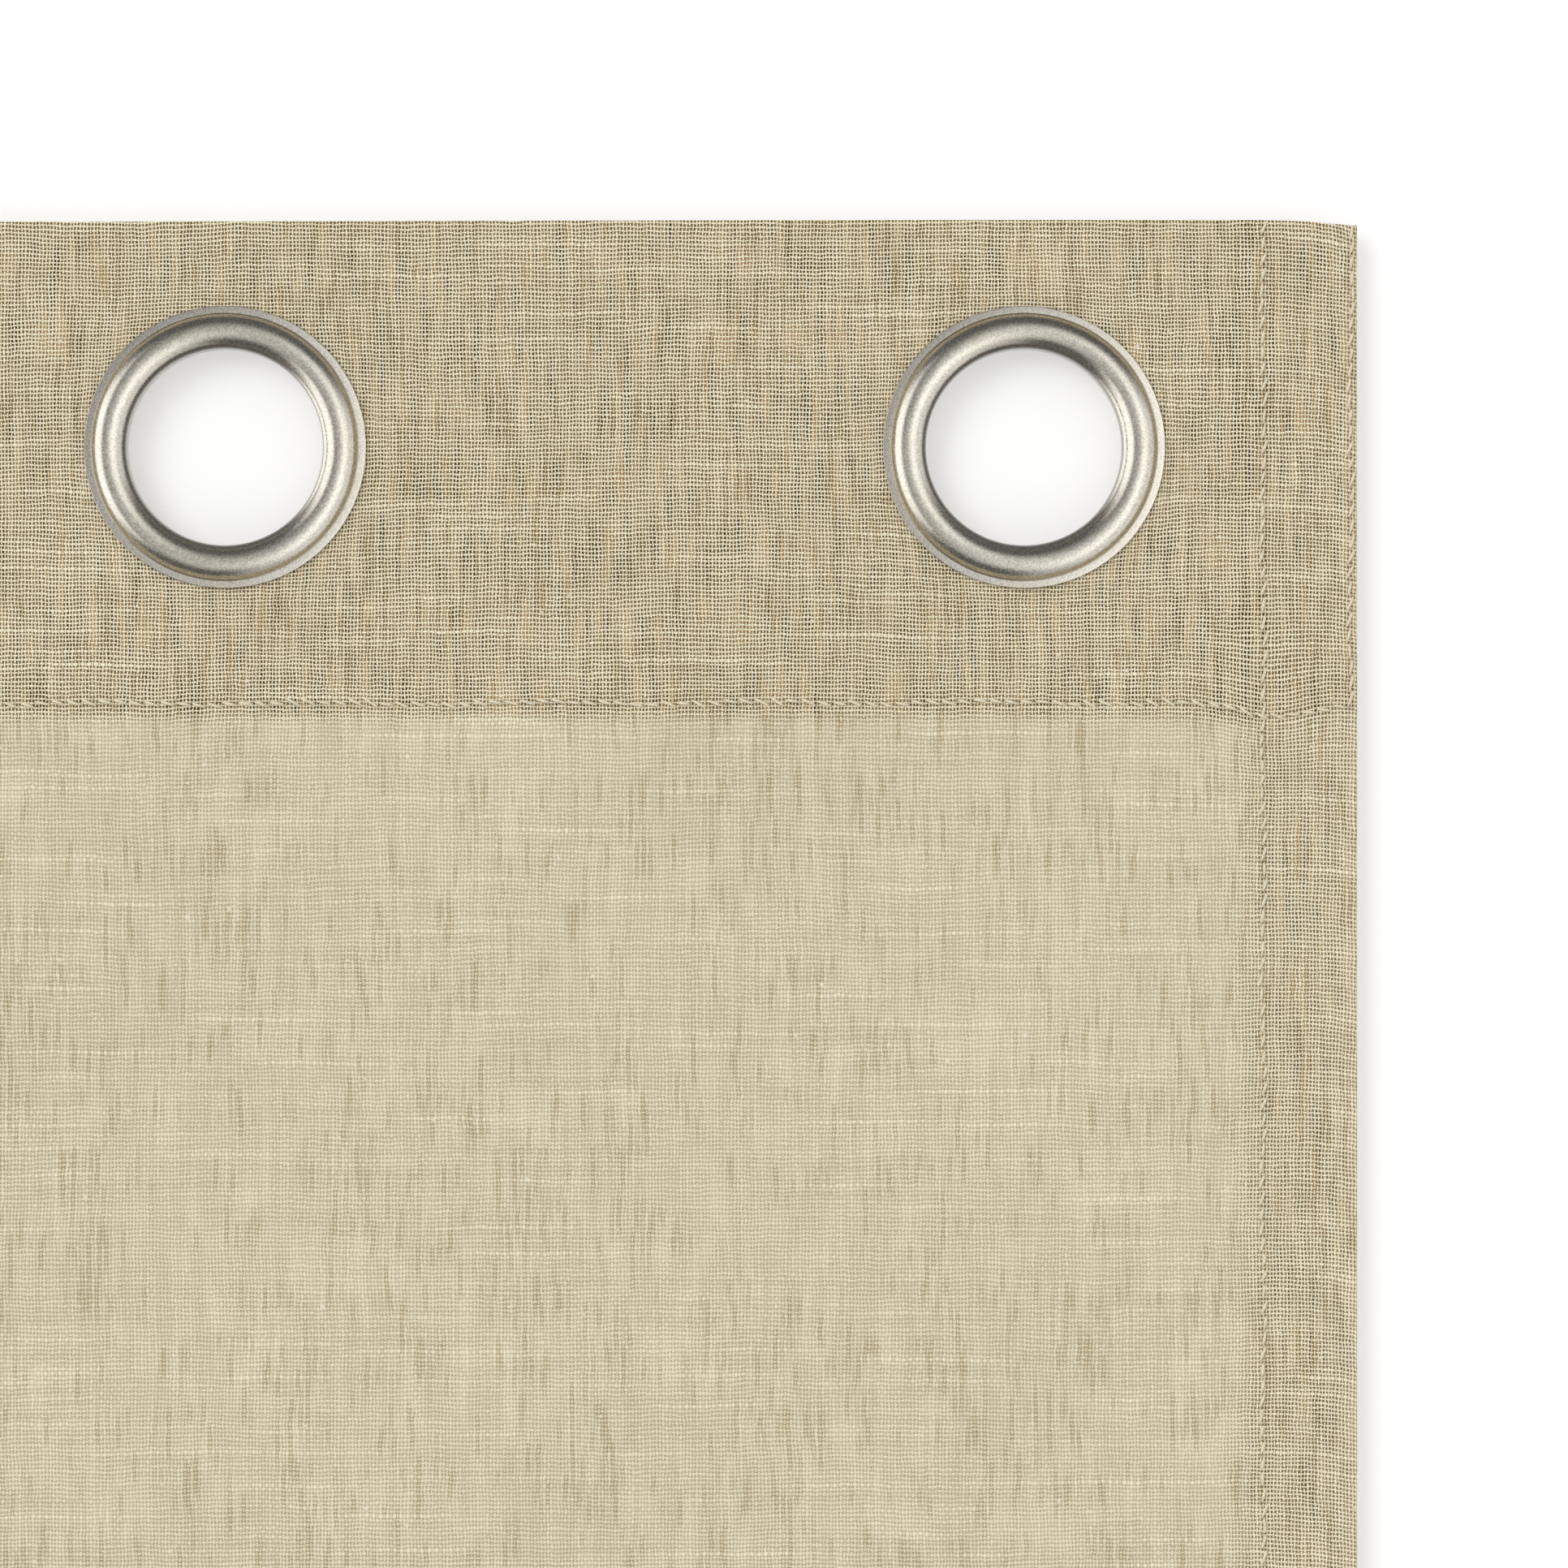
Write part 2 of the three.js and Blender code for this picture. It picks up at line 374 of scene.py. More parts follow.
class Number:
    """A number in a material. Arithmetic on it adds Math nodes."""

    def __init__(self, recipe, socket):
        self.recipe = recipe
        self.socket = socket

    def __add__(self, other):
        return self.recipe.math("ADD", self, other)

    def __sub__(self, other):
        return self.recipe.math("SUBTRACT", self, other)

    def __rsub__(self, other):
        return self.recipe.math("SUBTRACT", other, self)

    def __mul__(self, other):
        return self.recipe.math("MULTIPLY", self, other)

    def __truediv__(self, other):
        return self.recipe.math("DIVIDE", self, other)

    __radd__ = __add__
    __rmul__ = __mul__


class Recipe:
    """The nodes of one material or world."""

    def __init__(self, owner):
        owner.use_nodes = True
        self.tree = owner.node_tree
        self.tree.nodes.clear()

    def feed(self, socket, value):
        """Sets a socket to a constant, or links it to a number or another socket."""
        if isinstance(value, Number):
            value = value.socket
        if isinstance(value, bpy.types.NodeSocket):
            self.tree.links.new(value, socket)
        else:
            socket.default_value = value

    def node(self, kind, settings=None, inputs=None):
        """Adds a node, sets its settings and then its sockets, by name or place."""
        node = self.tree.nodes.new(kind)
        for key, value in (settings or {}).items():
            setattr(node, key, value)
        for key, value in (inputs or {}).items():
            self.feed(node.inputs[key], value)
        return node

    def math(self, operation, *terms):
        node = self.node("ShaderNodeMath", {"operation": operation}, dict(enumerate(terms)))
        return Number(self, node.outputs[0])

    def vector(self, operation, *terms):
        inputs = dict(enumerate(terms))
        return self.node("ShaderNodeVectorMath", {"operation": operation}, inputs).outputs[0]

    def combine(self, x, y, z=0.0):
        return self.node("ShaderNodeCombineXYZ", None, {"X": x, "Y": y, "Z": z}).outputs[0]

    def split(self, vector):
        node = self.node("ShaderNodeSeparateXYZ", None, {"Vector": vector})
        return [Number(self, socket) for socket in node.outputs]

    def noise(self, vector, scale, detail=2.0, roughness=0.5):
        inputs = {"Vector": vector, "Scale": scale, "Detail": detail, "Roughness": roughness}
        return self.node("ShaderNodeTexNoise", {"noise_dimensions": "3D"}, inputs)

    def grain(self, vector, scale, detail=2.0, roughness=0.5):
        return Number(self, self.noise(vector, scale, detail, roughness).outputs["Fac"])

    def ramp(self, value, low, high):
        """0 at low, 1 at high, eased between. low may be the greater."""
        inputs = {"Value": value, "From Min": low, "From Max": high}
        settings = {"interpolation_type": "SMOOTHSTEP"}
        return Number(self, self.node("ShaderNodeMapRange", settings, inputs).outputs[0])

    def mix(self, factor, a, b, blend_type="MIX"):
        """Mixes two colours."""
        settings = {"data_type": "RGBA", "blend_type": blend_type, "clamp_factor": True}
        a = (*a, 1.0) if isinstance(a, tuple) else a
        b = (*b, 1.0) if isinstance(b, tuple) else b
        return self.node("ShaderNodeMix", settings, {0: factor, 6: a, 7: b}).outputs[2]

    def surface(self, shader):
        output = self.node("ShaderNodeOutputMaterial")
        self.feed(output.inputs["Surface"], shader)


def scaled(colour, share):
    """A colour made lighter or darker."""
    return tuple(min(1.0, c * share) for c in colour)


def linen_material():
    """Plain open weave. Each thread is a band round a whole number of pitches, warp across u and
    weft across v, with its own slowly changing width. The product of a cosine across and a cosine
    along, each of two pitches, is 1 where warp lies on top and -1 where weft does."""
    linen = bpy.context.scene.curtain_linen
    material = bpy.data.materials.new("linen_gauze")
    r = Recipe(material)
    u, v, _ = r.split(r.node("ShaderNodeUVMap", {"uv_map": SHEET_MAP}).outputs["UV"])
    place = r.node("ShaderNodeUVMap", {"uv_map": WEAVE_MAP}).outputs["UV"]

    # where the plies lie on each other, from 0 to 1
    from_top = r.math("ABSOLUTE", v - TOP)
    from_foot = r.math("ABSOLUTE", v - BOTTOM)
    from_side = r.math("ABSOLUTE", r.math("ABSOLUTE", u) - EDGE)
    in_header = r.ramp(from_top, HEADER + 3.5 * MM, HEADER - 1 * MM)
    in_bottom = r.ramp(from_foot, BOTTOM_HEM + 3.5 * MM, BOTTOM_HEM - 1 * MM)
    in_side = r.ramp(from_side, SIDE_HEM + 9 * MM, SIDE_HEM - 4 * MM)
    at_rim = r.ramp(from_side, 6 * MM, 0.0) * 0.3
    hems = r.math("MAXIMUM", in_side * 0.82, r.math("MAXIMUM", in_header, in_bottom))
    doubled = hems * (1 - at_rim)

    sway = r.noise(place, 22, 2).outputs["Color"]
    drift = r.noise(place, 105, 1).outputs["Color"]
    jitter = r.noise(place, 420, 1).outputs["Color"]
    wandered = r.vector("MULTIPLY_ADD", sway, (2.0 * MM, 3.0 * MM, 0), place)
    wandered = r.vector("MULTIPLY_ADD", drift, (0.5 * MM, 0.65 * MM, 0), wandered)
    wandered = r.vector("MULTIPLY_ADD", jitter, (0.54 * MM, 0.56 * MM, 0), wandered)
    wander_u, wander_v, _ = r.split(wandered)
    across = wander_u / linen.warp_pitch
    along = wander_v / linen.weft_pitch
    warp_number = r.math("ROUND", across)
    weft_number = r.math("ROUND", along)

    warp_body = r.grain(r.combine(warp_number * 0.71, v * 90), 1.0)
    weft_body = r.grain(r.combine(u * 70, weft_number * 0.63, 7.0), 1.0)
    slub = r.ramp(r.grain(r.combine(u * 22, weft_number * 0.87, 31.0), 1.0, 0), 0.66, 0.78)
    felted = r.ramp(r.grain(r.combine(u * 190, v * 60, 9.0), 1.0, 2), 0.45, 0.70)
    felted = felted * (0.07 - doubled * 0.05)
    warp_half = 0.13 + warp_body * 0.24 + felted - doubled * 0.045
    weft_half = 0.12 + weft_body * 0.22 + felted + slub * 0.10 - doubled * 0.03
    from_warp = r.math("PINGPONG", across, 0.5)
    from_weft = r.math("PINGPONG", along, 0.5)
    warp = r.ramp(from_warp, warp_half + 0.09, warp_half - 0.07)
    weft = r.ramp(from_weft, weft_half + 0.09, weft_half - 0.07)
    over = r.math("COSINE", across * math.pi) * r.math("COSINE", along * math.pi)
    height = r.math("MAXIMUM", warp * (0.62 + over * 0.38), weft * (0.62 - over * 0.38))
    cover = r.math("MAXIMUM", warp, weft)

    # tan streaks one to three warp threads wide
    fleck = r.grain(r.combine(warp_number * 0.78, v * 75, 11.0), 1.0, 1)
    cluster = r.grain(r.combine(u * 90, v * 22, 5.0), 1.0, 1)
    streak = r.ramp(fleck + cluster * 0.4, 0.75, 0.90)
    # painted shade between the plies of the hems, deeper in broken patches and along the side hem's
    # inner edge in the header
    depth = r.grain(r.combine(u * 560, v * 66, 3.0), 1.0, 1)
    hem_edge_painted_shade = r.ramp(r.math("ABSOLUTE", from_side - SIDE_HEM - 2.5 * MM), 4 * MM, 0.5 * MM)
    depth = depth + hem_edge_painted_shade * in_header * 0.13
    deep_gap_shade = r.mix(r.ramp(depth, 0.30, 0.50), scaled(linen.hem_gap_painted_shade, 2.1), tuple(linen.hem_gap_painted_shade))
    deep_gap_shade = r.mix(r.ramp(depth, 0.53, 0.68), deep_gap_shade, scaled(linen.hem_gap_painted_shade, 0.28))
    gap = r.mix(doubled, tuple(linen.open_gap_painted_shade), deep_gap_shade)
    # painted shade on sunk threads and painted highlight on raised ones, by the threads' height,
    # with more contrast in the hems
    shade = r.mix(doubled, tuple(linen.thread_shade), scaled(linen.thread_shade, 0.86))
    light = r.mix(doubled, tuple(linen.thread_painted_highlight), scaled(linen.thread_painted_highlight, 1.15))
    thread = r.mix(r.ramp(height, 0.25, 0.95), shade, light)
    warp_tone = r.grain(r.combine(warp_number * 0.93, v * 24, 17.0), 1.0, 1)
    weft_tone = r.grain(r.combine(u * 17, weft_number * 0.91, 23.0), 1.0, 1) * 0.7 + 0.15
    on_top = r.ramp(over, -0.3, 0.3)
    tone = on_top * warp_tone + (1 - on_top) * weft_tone
    thread = r.mix(r.ramp(tone, 0.62, 0.34) * 0.75, thread, (0.84, 0.82, 0.77), "MULTIPLY")
    # painted highlight on slubs where they ride over the warp
    slub_painted_highlight = slub * r.ramp(over, 0.3, -0.7)
    thread = r.mix(slub_painted_highlight * 0.42, thread, scaled(linen.thread_painted_highlight, 1.14))
    colour = r.mix(cover, gap, thread)
    sunk = 1 - r.ramp(height, 0.45, 1.0) * 0.75
    colour = r.mix(streak * sunk, colour, (0.77, 0.73, 0.635), "MULTIPLY")

    # beside a seam the cloth is drawn down, with painted shade there, broken up by noise
    seams = [
        from_top - (HEADER - SEAM_INSET),
        from_foot - (BOTTOM_HEM - SEAM_INSET),
        from_side - (SIDE_HEM - SEAM_INSET),
        r.math("MAXIMUM", from_side - END_SEAM_INSET, from_top - HEADER),
    ]
    seams = [r.math("ABSOLUTE", seam) for seam in seams]
    cross, upright = (r.math("MINIMUM", a, b) for a, b in (seams[:2], seams[2:]))
    beside = r.math("MINIMUM", cross, upright)
    seam_painted_shade = r.ramp(r.grain(place, 900, 1), 0.48, 0.60) * r.ramp(beside, 1.15 * MM, 0.35 * MM)
    colour = r.mix(seam_painted_shade * 0.32, colour, (0.42, 0.34, 0.24), "MULTIPLY")

    # and holed by the needle halfway from stitch to stitch, with painted shade in each needle hole
    pitch = bpy.context.scene.curtain_thread.stitch_pitch
    for line, run in ((cross, u), (upright, v)):
        needle_hole_painted_shade = r.ramp(r.math("PINGPONG", run / pitch, 0.5), 0.36, 0.46)
        needle_hole_painted_shade = needle_hole_painted_shade * r.ramp(line, 1.2 * MM, 0.7 * MM)
        colour = r.mix(needle_hole_painted_shade * 0.26, colour, (0.36, 0.29, 0.19), "MULTIPLY")

    nep = r.ramp(r.grain(place, 560, 0), 0.83, 0.88)
    colour = r.mix(nep * 0.7, colour, (0.86, 0.80, 0.68))
    cloud = r.ramp(r.grain(place, 9, 3), 0.3, 0.7)
    colour = r.mix((1 - cloud) * 0.5, colour, (0.93, 0.93, 0.92), "MULTIPLY")

    relief_inputs = {"Strength": 0.45, "Distance": 0.12 * MM, "Height": height}
    bump = r.node("ShaderNodeBump", None, relief_inputs)
    inputs = {
        "Base Color": colour,
        "Roughness": 0.94,
        "Specular IOR Level": 0.12,
        "Normal": bump.outputs["Normal"],
    }
    r.surface(r.node("ShaderNodeBsdfPrincipled", None, inputs).outputs["BSDF"])
    return material


def thread_material():
    """Two-ply sewing thread: fine twist lines slanting along Object coordinates, painted as shade
    in the grooves and as highlight on the crests, and random mottling.
    """
    colour = tuple(bpy.context.scene.curtain_thread.colour)
    material = bpy.data.materials.new("sewing_thread_cream")
    r = Recipe(material)
    place = r.node("ShaderNodeTexCoord").outputs["Object"]
    x, _, z = r.split(place)
    twist = r.math("SINE", (x + z) * (TAU / (0.42 * MM)))
    fibre = r.grain(place, 2600, 2)
    # tone is partly the twist lines, painted as shade and highlight, and partly random mottling
    tone = r.ramp(twist * 0.3 + fibre, 0.2, 0.9)
    relief_inputs = {"Strength": 0.4, "Distance": 0.05 * MM, "Height": tone}
    bump = r.node("ShaderNodeBump", None, relief_inputs)
    inputs = {
        "Base Color": r.mix(tone, scaled(colour, 0.66), scaled(colour, 1.16)),
        "Roughness": 0.8,
        "Normal": bump.outputs["Normal"],
    }
    r.surface(r.node("ShaderNodeBsdfPrincipled", None, inputs).outputs["BSDF"])
    return material


def nickel_material(name, colour, rough):
    """Satin nickel with a fine tumbled grain: speckles a few tenths of a millimetre across change
    its tone, roughness and height, and broad clouds change its tone a little."""
    material = bpy.data.materials.new(name)
    r = Recipe(material)
    place = r.node("ShaderNodeTexCoord").outputs["Object"]
    speck = r.grain(place, 2300, 3, 0.65)
    pit = r.grain(place, 5200, 1)
    cloud = r.grain(place, 70, 2)
    tone = r.mix(r.ramp(speck, 0.3, 0.7), scaled(colour, 0.76), scaled(colour, 1.18))
    tone = r.mix(r.ramp(cloud, 0.35, 0.7) * 0.3, tone, (0.94, 0.90, 0.80), "MULTIPLY")
    relief_inputs = {"Strength": 0.35, "Distance": 0.03 * MM, "Height": speck + pit * 0.5}
    bump = r.node("ShaderNodeBump", None, relief_inputs)
    inputs = {
        "Base Color": tone,
        "Metallic": 1.0,
        "Roughness": r.ramp(speck, 0.2, 0.8) * 0.16 + rough,
        "Normal": bump.outputs["Normal"],
    }
    r.surface(r.node("ShaderNodeBsdfPrincipled", None, inputs).outputs["BSDF"])
    return material


# Spans of cloth


def spans():
    """The spans from left to right: the sheet's first and last u, the section that the span
    belongs to, and for a span over a hinge, its hinge as (left body, right body, x)."""
    found = [(-EDGE - SIDE_HEM, GROMMETS[0].x, 1, None)]
    hinge_x = {frozenset((j["parent"], j["child"])): j["pos_m"][0] for j in frame["joints"]}
    for n in range(1, SECTION_COUNT):
        fold = f"fold_{n}"
        middle = (GROMMETS[n - 1].x + GROMMETS[n].x) / 2
        left = (f"section_{n}", fold)
        right = (fold, f"section_{n + 1}")
        found.append((GROMMETS[n - 1].x, middle, n, (*left, hinge_x[frozenset(left)])))
        found.append((middle, GROMMETS[n].x, n + 1, (*right, hinge_x[frozenset(right)])))
    found.append((GROMMETS[-1].x, EDGE + SIDE_HEM, SECTION_COUNT, None))
    return found


def carry(piece, section, hinge):
    """Makes a piece of cloth or stitching move with its section. A piece over a hinge only has its
    placing baked into its points.
    """
    if hinge is None:
        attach(piece, f"section_{section}")
    else:
        left, right, x = hinge
        x - BEND_REACH
        x + BEND_REACH
        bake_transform(piece)


def columns(u0, u1, hinge):
    """Places across a span: close together over its hinge or round its side fold."""
    if hinge is not None:
        x = hinge[2]
        stops = [(u0, 3 * MM), (max(u0, x - BEND_REACH), 2 * MM), (min(u1, x + BEND_REACH), 3 * MM)]
        stops.append((u1, 0))
        return laid_out([s for k, s in enumerate(stops) if k == 0 or s[0] > stops[k - 1][0] + 1e-6])
    fold = 2 * FOLD_RADIUS
    if u0 < -EDGE:
        return laid_out([(u0, 3 * MM), (-EDGE - fold, fold / 4), (-EDGE + fold, 2.5 * MM), (u1, 0)])
    return laid_out([(u0, 2.5 * MM), (EDGE - fold, fold / 4), (EDGE + fold, 3 * MM), (u1, 0)])


def rows():
    """Places along the sheet: close together at the two folds, the seams and the grommets."""
    fold = 2 * FOLD_RADIUS
    return laid_out(
        [
            (BOTTOM - BOTTOM_HEM, 5 * MM),
            (BOTTOM - fold, fold / 4),
            (BOTTOM + fold, 5 * MM),
            (BOTTOM_SEAM - 8 * MM, 3 * MM),
            (BOTTOM_SEAM + 8 * MM, 9 * MM),
            (HEADER_SEAM - 12 * MM, 2 * MM),
            (HEADER_SEAM + 8 * MM, 3 * MM),
            (TOP - fold, fold / 4),
            (TOP + fold, 3 * MM),
            (TOP + HEADER, 0),
        ]
    )


def cut_for_grommet(u, v, faces):
    """Leaves out the faces inside the hole of each ply and draws the hole's rim out to a true
    circle, by moving each rim point along its radius."""
    u, v = u.copy(), v.copy()
    for centre in GROMMETS:
        for line in (centre.z, 2 * TOP - centre.z):
            away = np.hypot(u - centre.x, v - line)
            if away.min() > CLOTH_HOLE:
                continue
            inside = np.hypot(
                u[faces].mean(1) - centre.x, v[faces].mean(1) - line
            ) < CLOTH_HOLE
            rim = np.intersect1d(faces[inside], faces[~inside])
            grow = CLOTH_HOLE / away[rim]
            u[rim] = centre.x + (u[rim] - centre.x) * grow
            v[rim] = line + (v[rim] - line) * grow
            faces = faces[~inside]
    used, packed = np.unique(faces, return_inverse=True)
    return u[used], v[used], packed.reshape(faces.shape)


class CURTAIN_OT_cloth(bpy.types.Operator):
    """Make the linen sheet, span by span, with its hems turned and its grommet holes cut"""

    bl_idname = "curtain.cloth"
    bl_label = "Cloth"

    def execute(self, context):
        linen = linen_material()
        for number, (u0, u1, section, hinge) in enumerate(spans(), 1):
            across, along = columns(u0, u1, hinge), rows()
            u, v = (a.ravel() for a in np.meshgrid(across, along))
            u, v, faces = cut_for_grommet(u, v, grid_faces(len(along), len(across)))
            maps = {SHEET_MAP: np.stack([u, v], -1), WEAVE_MAP: weave_place(u, v)}
            points = cloth_point(u, v)
            span = put_mesh(f"linen_span_{number:02d}", points, faces.tolist(), linen, maps)
            keep_rim_sharp(span)
            ply = span.modifiers.new("ply", "SOLIDIFY")
            ply.thickness = context.scene.curtain_linen.thickness
            ply.offset = 0
            nodes = [f"cloth_section_{section}"]
            if hinge is not None:
                nodes.append(f"cloth_{hinge[0] if hinge[0].startswith('fold') else hinge[1]}")
            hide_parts(*nodes)
            carry(span, section, hinge)
        return {"FINISHED"}


# Stitches


STITCH_RINGS = 5
STITCH_SIDES = 6


def stitch_faces():
    """Faces of one stitch: a tube of quads closed by a fan of triangles at each end."""
    tube = grid_faces(STITCH_RINGS, STITCH_SIDES, wrap_columns=True).tolist()
    first, last = STITCH_RINGS * STITCH_SIDES, STITCH_RINGS * STITCH_SIDES + 1
    side = np.arange(STITCH_SIDES)
    after = (side + 1) % STITCH_SIDES
    end_ring = (STITCH_RINGS - 1) * STITCH_SIDES
    start_fan = np.stack([np.full(STITCH_SIDES, first), after, side], 1)
    end_fan = np.stack([np.full(STITCH_SIDES, last), end_ring + side, end_ring + after], 1)
    return tube, start_fan.tolist() + end_fan.tolist()


def stitches(u, v, du, dv, seed):
    """Points and faces of a row of stitches. Stitch k is centred on the sheet at (u[k], v[k]) and
    runs along (du, dv), leaning a little. Along it, s goes from -1 to 1: its line lies above
    the cloth by the thread's radius times 0.9 - 1.3 s^2, and its own radius is the thread's
    times (1 - s^2)^0.3."""
    thread = bpy.context.scene.curtain_thread
    half = thread.stitch_pitch * 0.46
    s = np.linspace(-0.94, 0.94, STITCH_RINGS)
    s = np.concatenate([s, [-1, 1]])
    lean = 0.26 + np.random.default_rng(seed).normal(0, 0.14, (len(u), 1))
    along_u, along_v = du + lean * dv, dv - lean * du
    path_u, path_v = u[:, None] + along_u * half * s, v[:, None] + along_v * half * s
    line = cloth_point(path_u, path_v)
    face = outward(path_u, path_v)
    ply = bpy.context.scene.curtain_linen.thickness / 2
    line[..., 1] += face * (ply + thread.radius * (0.9 - 1.3 * s * s))
    radius = thread.radius * np.sqrt(np.clip(1 - s * s, 0, 1)) ** 0.6
    angle = np.arange(STITCH_SIDES) * TAU / STITCH_SIDES
    # round the thread, between the way out of the cloth and the way across the stitch
    run = line[:, 4, :] - line[:, 0, :]
    run = run / np.linalg.norm(run, axis=1, keepdims=True)
    rise = np.stack([np.zeros(len(u)), face[:, 2], np.zeros(len(u))], -1)
    side = np.cross(run, rise)
    ring = np.cos(angle)[:, None, None] * rise + np.sin(angle)[:, None, None] * side
    tube = line[:, :STITCH_RINGS, None, :] + (
        radius[None, :STITCH_RINGS, None, None] * ring.transpose(1, 0, 2)[:, None, :, :]
    )
    count = STITCH_RINGS * STITCH_SIDES
    points = np.concatenate([tube.reshape(len(u), count, 3), line[:, STITCH_RINGS:, :]], 1)
    quads, fans = stitch_faces()
    first = np.arange(len(u))[:, None, None] * (count + 2)
    faces = (first + np.array(quads)).reshape(-1, 4).tolist()
    faces += (first + np.array(fans)).reshape(-1, 3).tolist()
    return points.reshape(-1, 3), faces


def sew(name, runs, material):
    """One object of stitches from several runs, each (u0, v0, u1, v1) on the sheet."""
    pitch = bpy.context.scene.curtain_thread.stitch_pitch
    points, faces, total = [], [], 0
    for k, (u0, v0, u1, v1) in enumerate(runs):
        length = math.hypot(u1 - u0, v1 - v0)
        du, dv = (u1 - u0) / length, (v1 - v0) / length
        start = u0 * du + v0 * dv
        along = np.arange(math.ceil(start / pitch), (start + length) / pitch) * pitch - start
        u, v = u0 + du * along, v0 + dv * along
        slow, quick = np.sin((u + v) * TAU / 0.047), np.sin((u + v) * TAU / 0.0131)
        wobble = 0.3 * MM * slow + 0.16 * MM * quick
        p, f = stitches(u - dv * wobble, v + du * wobble, du, dv, seed=len(name) + 7 * k)
        points.append(p)
        faces += [[corner + total for corner in face] for face in f]
        total += len(p)
    return put_mesh(name, np.concatenate(points), faces, material)


class CURTAIN_OT_cross_seams(bpy.types.Operator):
    """Sew the header and the bottom hem, on the front and on the turned ply behind it"""

    bl_idname = "curtain.cross_seams"
    bl_label = "Header and bottom seams"

    def execute(self, context):
        thread = thread_material()
        turned_header = 2 * TOP - HEADER_SEAM
        turned_bottom = 2 * BOTTOM - BOTTOM_SEAM
        inner = EDGE - END_SEAM_INSET
        for number, (u0, u1, section, hinge) in enumerate(spans(), 1):
            a, b = max(u0, -inner), min(u1, inner)
            for label, lines in (
                ("header_stitches", (HEADER_SEAM, turned_header)),
                ("bottom_stitches", (BOTTOM_SEAM, turned_bottom)),
            ):
                seam = sew(f"{label}_{number:02d}", [(a, v, b, v) for v in lines], thread)
                node = label.replace("bottom", "bottom_hem").replace("stitches", "stitching")
                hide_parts(f"{node}_{section}")
                carry(seam, section, hinge)
        return {"FINISHED"}


class CURTAIN_OT_side_seams(bpy.types.Operator):
    """Sew the side hems from top to bottom and close the ends of the header"""

    bl_idname = "curtain.side_seams"
    bl_label = "Side seams"

    def execute(self, context):
        thread = bpy.data.materials["sewing_thread_cream"]
        start, end = 1.5 * MM, HEADER - SEAM_INSET
        for side, sign, section in (("left", -1, 1), ("right", 1, SECTION_COUNT)):
            u, inner = sign * SIDE_SEAM, sign * (2 * EDGE - SIDE_SEAM)
            hem = [
                (u, BOTTOM - BOTTOM_HEM + start, u, BOTTOM - start),
                (u, BOTTOM + start, u, TOP - start),
                (u, TOP + start, u, TOP + HEADER - start),
                (inner, BOTTOM + BOTTOM_HEM + start, inner, TOP - HEADER - start),
            ]
            seam = sew(f"side_hem_stitches_{side}", hem, thread)
            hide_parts(f"side_hem_stitching_{side}")
            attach(seam, f"section_{section}")
            u = sign * (EDGE - END_SEAM_INSET)
            close = [(u, TOP - end, u, TOP - start), (u, TOP + start, u, TOP + end)]
            seam = sew(f"header_end_stitches_{side}", close, thread)
            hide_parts(f"header_end_stitching_{side}")
            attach(seam, f"section_{section}")
        return {"FINISHED"}


# Grommets


def arc(centre, radii, start, end, steps):
    """Points (radius, y) on part of an ellipse, from one angle to another."""
    angle = np.linspace(start, end, steps + 1)
    return np.stack([centre[0] + radii[0] * np.cos(angle), centre[1] + radii[1] * np.sin(angle)], 1)


def ring_profile():
    """The grommet's front piece cut through, as (radius, y), going round the metal once: the rim,
    half an ellipse over the raised ring, down the neck, a half circle for the rolled lip, and back
    up inside at one metal's thickness."""
    g = bpy.context.scene.curtain_grommet
    metal, half = g.metal, g.dome_width / 2
    rim_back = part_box("cloth_section_1")[0].y - RIM_TO_CLOTH
    rim_front = rim_back - metal
    hole = RING_RADIUS - g.dome_width - RIM_WIDTH
    crest = hole + half
    height = rim_front - RING_LOW.y
    lip = RING_HIGH.y
    lip_half = 1.3 * MM
    edge, foot = 0.13 * MM, 0.07 * MM
    outer_dome = arc((crest, rim_front), (half, -height), math.pi, 0.04, 40)
    foot_centre = (crest + half + foot * 0.9, rim_front - foot)
    foot_fillet = arc(foot_centre, (foot, foot), math.pi * 0.95, math.pi * 0.5, 6)
    rim_edge = np.concatenate(
        [
            arc((RING_RADIUS - edge, rim_front + edge + 0.1 * MM), (edge, edge), -1.48, 0, 5),
            arc((RING_RADIUS - edge, rim_back - edge), (edge, edge), 0, math.pi / 2, 5),
        ]
    )
    under_dome = arc((crest, rim_back), (half - metal, -height), 0, math.pi, 24)
    lip_roll = arc((hole + lip_half, lip - lip_half), (lip_half, lip_half), math.pi, 0, 16)[::-1]
    inside = np.array(
        [
            [hole + metal, lip - lip_half - 0.1 * MM],
            [hole + metal + 0.25 * MM, lip - metal],
            [hole + 2 * lip_half - metal, lip - metal],
            [hole + 2 * lip_half - 0.3 * MM, lip - lip_half - 0.25 * MM],
        ]
    )
    return np.concatenate([rim_edge, under_dome, inside, lip_roll, outer_dome, foot_fillet])


def washer_profile():
    """The washer cut through, as (radius, y): flat against the cloth, crowned at the back, with
    rounded edges."""
    low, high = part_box("grommet_washer_1")
    g = bpy.context.scene.curtain_grommet
    metal = g.metal
    hole = RING_RADIUS - g.dome_width - RIM_WIDTH + metal + NECK_TO_WASHER
    middle, half = (hole + WASHER_RADIUS) / 2, (WASHER_RADIUS - hole) / 2
    crown = arc((middle, low.y + metal), (half, high.y - low.y - metal), 0, math.pi, 20)
    edge = 0.2 * MM
    outer = arc((WASHER_RADIUS - edge, low.y + edge), (edge, edge), -math.pi / 2, 0, 5)
    return np.concatenate([outer, crown, [[hole, low.y]]])


